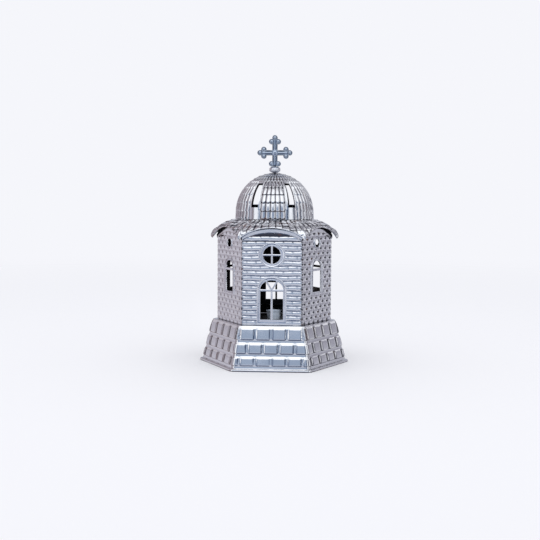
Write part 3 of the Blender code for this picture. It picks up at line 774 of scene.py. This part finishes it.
# latitudes of the lines between the rows of tiles, from below the drum's foot to past the crown
ROW_EDGES = np.array([-22, -10.0, 0.5, 12.7, 25.2, 36.9, 49.0, 56.5, 64.7, 73.0, 81.0, 92.0])
# tile columns between two slots, and round the crown above them
COLUMNS_BETWEEN = {"front": 5, "other": 6}
CROWN_COLUMNS = 44


def dome_columns(azimuth):
    """Degrees to the nearest slot's middle, and the place counted in tile columns from the frame
    of the slot before."""
    off = np.full(azimuth.shape, 999.0)
    place = np.zeros(azimuth.shape)
    for slot, following in zip(SLOT_AZIMUTHS, SLOT_AZIMUTHS[1:] + SLOT_AZIMUTHS[:1]):
        away = (azimuth - slot + 180) % 360 - 180
        off = np.where(np.abs(away) < np.abs(off), away, off)
        ahead = (azimuth - slot) % 360
        gap = (following - slot) % 360
        columns = COLUMNS_BETWEEN["front" if following < slot else "other"]
        share = (ahead - SLOT_FRAME_HALF) / (gap - 2 * SLOT_FRAME_HALF)
        place = np.where(ahead < gap, share * columns, place)
    return off, place


def dome():
    """The tiled dome with a smooth raised frame round each slot."""
    part = Part()
    radius = DOME_APEX - DOME_CENTRE
    foot = math.degrees((DOME_FOOT - DOME_CENTRE) / radius)
    drum = np.linspace(foot, 0, DRUM_ROWS, endpoint=False)
    latitude = np.concatenate([drum, np.linspace(0, 87.0, DOME_ROWS)])
    azimuth, latitude = np.meshgrid(np.linspace(0, 360, DOME_STEPS, endpoint=False), latitude)
    up = np.radians(latitude)
    height = np.where(latitude < 0, up, np.sin(up)) * radius + DOME_CENTRE
    drum_radius = radius + (DOME_FOOT_RADIUS - radius) * latitude / foot
    out = np.where(latitude < 0, drum_radius, radius * np.cos(up))
    surface = polar(out, azimuth, height)

    off, place = dome_columns(azimuth)
    row_place = -np.interp(latitude, ROW_EDGES, np.arange(len(ROW_EDGES)))
    place = np.where(latitude > FRAME_TOP + 1, azimuth / 360 * CROWN_COLUMNS, place)
    # the painted shadow under the rows is strongest on the front and over the slot frames
    in_front = 1 - smooth(np.abs((azimuth + 180) % 360 - 180), 20, 34)
    over_frames = smooth(latitude, FRAME_TOP - 2, FRAME_TOP + 2)
    row_shadow = 0.25 + 0.75 * np.maximum(in_front, over_frames)
    relief, bare_and_lit = tile_relief(place, row_place, 0.16, 0.75, 0.16, 0.90, row_shadow)
    crown = smooth(latitude, 82.0, 84.0)
    relief = relief * (1 - crown) + 0.6 * crown
    bare_and_lit = bare_and_lit * (1 - crown) + crown

    away = np.abs(off)
    edge = smooth(SLOT_FRAME_HALF - away, 0.0, 1.1) * smooth(FRAME_TOP - latitude, 0.0, 1.2)
    groove = smooth(away, 6.4, 7.2) * (1 - smooth(away, 7.6, 8.6)) * smooth(latitude, 3.0, 6.0)
    band = 0.85 + 0.22 * np.cos(np.radians(off / SLOT_FRAME_HALF * 90)) - 0.30 * groove
    relief = relief * (1 - edge) + band * edge
    bare_and_lit = bare_and_lit * (1 - edge) + edge
    way = normals(surface)
    outer = surface + way * (relief[..., None] - 0.75) * DOME_RISE
    inner = surface - way * 1.3 * SHEET
    middle_off = (off[:-1] + off[1:]) / 2
    middle_latitude = (latitude[:-1] + latitude[1:]) / 2
    low = np.where(np.abs((azimuth[1:] - 180)) < 60, REAR_SLOT_LOW, SLOT_LOW)
    hole = (np.abs(middle_off) < SLOT_HALF) & (middle_latitude > low) & (middle_latitude < SLOT_HIGH)
    points, faces, inside = skin(outer, inner, ~hole, wrap=True)
    part.add(points, faces, np.tile(bare_and_lit.ravel(), 2), np.where(inside, 1, 0))
    return part.piece("dome_relief", "house", ["dome_shell"], [POLISHED, DARK_INSIDE])


# ---- turned pieces
def turned(profile, steps):
    """A ring-shaped skin turned from a closed profile of radii and heights."""
    angles = np.linspace(0, 360, steps, endpoint=False)
    return loft([polar(r, angles, z) for r, z in profile])


def cup():
    """The candle cup: straight sides, a flared lip and a hole for the screw in its floor."""
    part = Part()
    high = CUP_TOP - CUP_FOOT
    body = CUP_LIP - 0.6 * MM
    hollow = body - 0.6 * MM
    outer = [(1.8 * MM, 0), (body - 0.8 * MM, 0), (body - 0.35 * MM, 0.12 * MM),
             (body - 0.15 * MM, 0.5 * MM), (body - 0.05 * MM, high * 0.4), (body, high * 0.72)]
    flare = [(body + 0.6 * MM * s ** 1.8, high * (0.72 + 0.26 * s)) for s in (0.25, 0.5, 0.75, 0.9, 1.0)]
    lip = [(CUP_LIP - 0.08 * MM, high * 0.997), (CUP_LIP - 0.25 * MM, high)]
    inner = [(CUP_LIP - 0.42 * MM, high * 0.985), (hollow + 0.15 * MM, high * 0.86),
             (hollow, high * 0.7), (hollow - 0.1 * MM, 1.2 * MM), (hollow - 0.4 * MM, 0.7 * MM),
             (1.8 * MM, 0.6 * MM)]
    part.add(*turned([(r, CUP_FOOT + z) for r, z in outer + flare + lip + inner], 128))
    return part.piece("candle_cup_turned", "base", ["candle_cup"], [TURNED], angle=50)


def bead():
    """The ball under the cross, with a fine groove round its middle."""
    part = Part()
    centre = (BEAD_FOOT + BEAD_TOP) / 2
    half = (BEAD_TOP - BEAD_FOOT) / 2 / math.sin(math.radians(70))
    profile = []
    for latitude in np.radians(np.linspace(-70, 70, 43)):
        groove = 0.30 * MM * math.exp(-(math.degrees(latitude) / 6) ** 2)
        profile.append((BEAD_RADIUS * math.cos(latitude) - groove, centre + half * math.sin(latitude)))
    profile += [(1.4 * MM, BEAD_TOP), (1.4 * MM, BEAD_FOOT)]
    part.add(*turned(profile, 96))
    return part.piece("finial_bead_turned", "house", ["finial_bead"], [MOULDED])


# ---- cross
# places on the CAD model's cross: its middle, and its buds along an arm and to the arm's sides
CROSS_CENTRE = 182.2 * MM
ARM_TIP = 12.9 * MM
SIDE_BUD = (9.6 * MM, 2.9 * MM)
LOWER_BUD = (9.5 * MM, 2.9 * MM)
BUD_RADIUS = 2.3 * MM
ARM_HALF = 2.2 * MM
BUD_STEPS = 28
# from the middle of a bud out, and across half an arm: share of its width, height in mm, how clean it is
BUD_BODY = [(0.10, 0.95, 1.0), (0.30, 0.90, 1.0), (0.50, 0.66, 0.7), (0.64, 0.30, 0.1), (0.74, 0.26, 0.05),
            (0.84, 0.44, 0.7), (0.92, 0.42, 0.7), (1.0, 0.10, 0.15), (1.0, -0.4, 0.1)]
HALF_ARM = [(0.0, 0.40, 1.0), (0.24, 0.30, 0.7), (0.46, 0.02, 0.05), (0.60, 0.10, 0.1), (0.74, 0.44, 0.8),
            (0.88, 0.42, 0.7), (1.0, 0.10, 0.15), (1.0, -0.4, 0.1)]
ARM_BODY = [(-s, out, bare_and_lit) for s, out, bare_and_lit in HALF_ARM[:0:-1]] + HALF_ARM
# the boss at the cross's middle: radius and height in millimetres
BOSS = [(0.5, 0.98), (1.1, 0.86), (1.6, 0.6), (1.9, 0.44), (2.3, 0.50), (2.6, 0.4), (2.7, -0.3)]


def quarter_turns(x, z, count):
    """A point turned by quarters of a circle round the cross's middle."""
    angle = math.radians(90 * count)
    return x * math.cos(angle) - z * math.sin(angle), x * math.sin(angle) + z * math.cos(angle)


def round_ring(x, z, radius, y):
    """A ring of points in the cross's plane, at the depth y."""
    angle = np.radians(np.linspace(0, 360, BUD_STEPS, endpoint=False))
    return np.stack([x + radius * np.cos(angle), np.full(BUD_STEPS, y),
                     CROSS_CENTRE + z + radius * np.sin(angle)], -1)


def cross_relief():
    """Raised rims, ribs and domed buds on both faces of the flat cross."""
    part = Part()
    level = CROSS_HALF_THICK * 0.86
    arm_end = SIDE_BUD[0] + 1.2 * MM
    buds = []
    for k in range(4):
        along, across = LOWER_BUD if k == 3 else SIDE_BUD
        spots = [(along, across), (along, -across)] + ([] if k == 3 else [(ARM_TIP, 0)])
        buds += [quarter_turns(x, z, k) for x, z in spots]
    for face in (-1, 1):
        for x, z in buds:
            rings = [round_ring(x, z, r * BUD_RADIUS, face * (level + out * MM))
                     for r, out, bare_and_lit in BUD_BODY]
            values = np.repeat([bare_and_lit for r, out, bare_and_lit in BUD_BODY], BUD_STEPS)
            part.add(*loft(rings, closed=False), values)
        for k in range(4):
            rings = []
            for reach in np.linspace(0, arm_end, 14):
                half = ARM_HALF * (1 - 0.16 * math.sin(math.pi * reach / arm_end))
                ring = []
                for s, out, bare_and_lit in ARM_BODY:
                    x, z = quarter_turns(reach, s * half, k)
                    ring.append((x, face * (level + out * MM), CROSS_CENTRE + z))
                rings.append(ring)
            part.add(*loft(rings, closed=False), [bare_and_lit for s, out, bare_and_lit in ARM_BODY] * len(rings))
        rings = [round_ring(0, 0, r * MM, face * (level + out * MM)) for r, out in BOSS]
        part.add(*loft(rings, closed=False))
    return part.piece("cross_relief", "house", [], [DARKENED], slot="polished_plate", angle=50)


# ---- studio
AIR = (0.915, 0.922, 0.965)
HOUSE_SIDE = WALL_APOTHEM / math.cos(HALF_TURN)
FLOOR_REACH = 3.0
TENT_RADIUS = 2.5


def way_to(azimuth, elevation):
    """Unit vector towards a place in the studio: azimuth 0 is in front of the door."""
    turn, up = math.radians(azimuth), math.radians(elevation)
    return Vector((math.sin(turn) * math.cos(up), -math.cos(turn) * math.cos(up), math.sin(up)))


def stage_floor():
    """A pale floor that fades into the studio's air far from the lantern."""
    mesh = bpy.data.meshes.new("studio_floor")
    corners = [(x * FLOOR_REACH, y * FLOOR_REACH, 0) for x, y in ((-1, -1), (1, -1), (1, 1), (-1, 1))]
    mesh.from_pydata(corners, [], [(0, 1, 2, 3)])
    floor = place_object("studio_floor", mesh)
    floor.visible_glossy = False
    made, tree, shader = shader_tree("studio_floor")
    shader.inputs["Base Color"].default_value = (0.93, 0.93, 0.94, 1)
    shader.inputs["Roughness"].default_value = 0.8
    shader.inputs["Specular IOR Level"].default_value = 0.0
    place = tree.nodes.new("ShaderNodeTexCoord")
    far = tree.nodes.new("ShaderNodeVectorMath")
    far.operation = "LENGTH"
    tree.links.new(place.outputs["Object"], far.inputs[0])
    clear = tree.nodes.new("ShaderNodeBsdfTransparent")
    mix = tree.nodes.new("ShaderNodeMixShader")
    tree.links.new(ramp(tree, far.outputs["Value"], 0.35, 1.6, 0.0, 1.0), mix.inputs[0])
    tree.links.new(shader.outputs[0], mix.inputs[1])
    tree.links.new(clear.outputs[0], mix.inputs[2])
    tree.links.new(mix.outputs[0], tree.nodes["Material Output"].inputs["Surface"])
    mesh.materials.append(made)


# upright stripes in the tent: middle and half width in degrees of azimuth, colour and strength
FRONT_STRIPES = (
    (-50, 11, (1.15, 1.17, 1.20), 0.95),
    (-29, 7, (0.16, 0.21, 0.32), 0.8),
    (31, 7, (0.05, 0.08, 0.15), 0.95),
    (50, 10, (1.15, 1.17, 1.20), 0.95),
    (67, 6, (0.06, 0.07, 0.10), 0.95),
    (-67, 6, (0.22, 0.17, 0.18), 0.9))
SIDE_STRIPES = (
    (134, 4, (1.1, 1.1, 1.14), 0.85),
    (-134, 4, (0.80, 0.76, 0.80), 0.6),
    (84, 8, (1.1, 1.1, 1.13), 0.9),
    (103, 7, (0.05, 0.05, 0.07), 0.95),
    (147, 9, (0.09, 0.085, 0.11), 0.9),
    (-84, 6, (0.60, 0.58, 0.62), 0.4),
    (-102, 7, (0.17, 0.11, 0.11), 0.9),
    (-147, 9, (0.19, 0.13, 0.135), 0.9))


def tent_light(azimuth, elevation):
    """What the metal sees in each direction: a soft white panel high in front, blue-grey air under
    it, and mauve sides, with the right side the more broken up."""
    turn = np.abs((azimuth + 180) % 360 - 180)
    on_right = ((azimuth % 360) < 180)[..., None]

    def stripe(light, middle, half, colour, strength):
        """The light with an upright stripe of another colour laid over it."""
        away = np.abs((azimuth - middle + 180) % 360 - 180)
        share = ((1 - smooth(away, half * 0.6, half * 1.4)) * strength)[..., None]
        return light * (1 - share) + np.array(colour) * share

    def levels(*steps):
        """Colours by elevation: each step is (elevation where it starts, softness, colour)."""
        colour = np.broadcast_to(np.array(steps[0][2]), elevation.shape + (3,))
        for start, soft, following in steps[1:]:
            share = smooth(elevation, start - soft, start + soft)[..., None]
            colour = colour * (1 - share) + np.array(following) * share
        return colour

    ahead = levels((-90, 0, (0.15, 0.19, 0.29)), (-26, 6, (0.66, 0.68, 0.77)), (2, 5, (0.38, 0.46, 0.60)),
                   (26, 7, (1.45, 1.47, 1.50)), (76, 8, (0.26, 0.26, 0.30)))
    fade = 1 - 0.5 * smooth(elevation, 22, 30) - 0.5 * smooth(elevation, 74, 84)
    for middle, half, colour, strength in FRONT_STRIPES:
        ahead = stripe(ahead, middle, half, colour, strength * fade)
    left = levels((-90, 0, (0.33, 0.28, 0.30)), (-20, 8, (0.62, 0.60, 0.67)), (3, 4, (0.47, 0.44, 0.50)),
                  (32, 8, (0.52, 0.50, 0.56)), (66, 10, (0.30, 0.29, 0.33)))
    right = levels((-90, 0, (0.20, 0.19, 0.22)), (-20, 6, (0.55, 0.55, 0.62)), (3, 4, (0.37, 0.36, 0.42)),
                   (32, 8, (0.66, 0.66, 0.71)), (66, 10, (0.28, 0.28, 0.32)))
    behind = levels((-90, 0, (0.36, 0.38, 0.45)), (-20, 8, (0.55, 0.56, 0.63)), (6, 6, (0.42, 0.44, 0.52)),
                    (30, 8, (0.85, 0.85, 0.90)), (68, 8, (0.24, 0.24, 0.28)))
    side = np.where(on_right, right, left)
    fade = 1 - smooth(elevation, 55, 75)
    for middle, half, colour, strength in SIDE_STRIPES:
        side = stripe(side, middle, half, colour, strength * fade)
    to_side = smooth(turn, 62, 82)[..., None]
    to_rear = smooth(turn, 150, 165)[..., None]
    return (ahead * (1 - to_side) + side * to_side) * (1 - to_rear) + behind * to_rear


def reflection_tent():
    """A large lit tent round the set, seen only in the metal's reflections."""
    # every two degrees each way
    azimuth, elevation = np.meshgrid(np.linspace(0, 360, 180, endpoint=False), np.linspace(-90, 90, 91))
    up = np.radians(elevation)
    points = polar(np.cos(up), azimuth, np.sin(up)) * TENT_RADIUS
    index = np.arange(azimuth.size).reshape(azimuth.shape)
    index = np.concatenate([index, index[:, :1]], axis=1)
    faces = np.stack(cell_corners(index), -1).reshape(-1, 4)
    mesh = bpy.data.meshes.new("reflection_tent")
    mesh.from_pydata(points.reshape(-1, 3).tolist(), [], faces.tolist())
    colours = mesh.attributes.new("light", "FLOAT_COLOR", "POINT")
    light = np.concatenate([tent_light(azimuth, elevation), np.ones(azimuth.shape + (1,))], -1)
    colours.data.foreach_set("color", light.astype(np.float32).ravel())
    tent = place_object("reflection_tent", mesh)
    tent.visible_camera = False
    tent.visible_diffuse = False
    tent.visible_shadow = False
    tent.visible_transmission = False
    tent.visible_volume_scatter = False
    made, tree, shader = shader_tree("reflection_tent")
    glow = tree.nodes.new("ShaderNodeEmission")
    seen = tree.nodes.new("ShaderNodeAttribute")
    seen.attribute_name = "light"
    tree.links.new(seen.outputs["Color"], glow.inputs["Color"])
    tree.links.new(glow.outputs[0], tree.nodes["Material Output"].inputs["Surface"])
    tree.nodes.remove(shader)
    mesh.materials.append(made)


def place_lamp(light, target, way, distance):
    """Hangs a lamp that way from the target and turned to it, unseen in the reflections."""
    lamp = place_object(light.name, light)
    lamp.location = target + way * distance
    lamp.rotation_euler = way.to_track_quat("Z", "Y").to_euler()
    lamp.visible_glossy = False


def top_softbox():
    """A soft lamp high in front, for the floor and the duller metal."""
    light = bpy.data.lights.new("top_softbox", "AREA")
    light.shape = "RECTANGLE"
    light.size = 0.9
    light.size_y = 0.6
    light.energy = 1.0
    place_lamp(light, Vector((0, 0, 0.09)), way_to(0, 75), 0.9)


def door_spot():
    """A narrow lamp that looks in through the door and lights the cup."""
    light = bpy.data.lights.new("door_spot", "SPOT")
    light.energy = 30
    light.spot_size = math.radians(7)
    light.spot_blend = 0.8
    light.shadow_soft_size = 0.03
    place_lamp(light, Vector((0, 0, 0.055)), way_to(6, 9), 0.8)


def camera():
    """A little to the right of the door and a little above, with a long lens."""
    way = way_to(2.94, 4.4)
    roll = Matrix.Rotation(math.radians(0.33), 3, "Z")
    turn = way.to_track_quat("Z", "Y").to_matrix() @ roll
    target = Vector((0, 0, 1.602 * HOUSE_SIDE))
    distance = 16.2 * HOUSE_SIDE
    aside = turn.col[0] * 0.074 * HOUSE_SIDE
    data = bpy.data.cameras.new("camera")
    data.sensor_width = 36
    data.lens = 61.56
    made = place_object("camera", data)
    made.location = target + way * distance - aside
    made.rotation_euler = turn.to_euler()
    bpy.context.scene.camera = made


def studio():
    """Even pale air, the lamps, the floor, the tent and the camera."""
    world = bpy.data.worlds.new("studio")
    bpy.context.scene.world = world
    world.use_nodes = True
    sky = world.node_tree.nodes["Background"]
    sky.inputs["Color"].default_value = (*AIR, 1)
    sky.inputs["Strength"].default_value = 1.0
    bpy.context.scene.view_settings.view_transform = "Standard"
    top_softbox()
    door_spot()
    stage_floor()
    reflection_tent()
    camera()


# ---- assembly
for wall_node in WALLS:
    wall(wall_node)
base()
roof()
dome()
cup()
bead()
cross_relief()
CARRIED_OVER = {"bottom_plate": SATIN, "locating_rim": DARK_INSIDE, "dome_collar": SATIN, "cup_screw": STEEL,
                "cup_nut": STEEL, "finial_washer": STEEL, "finial_nut": STEEL, "cross": DARKENED}
for cad_node, finish in CARRIED_OVER.items():
    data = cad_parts[cad_node].data
    data.materials.clear()
    data.materials.append(finish)
studio()
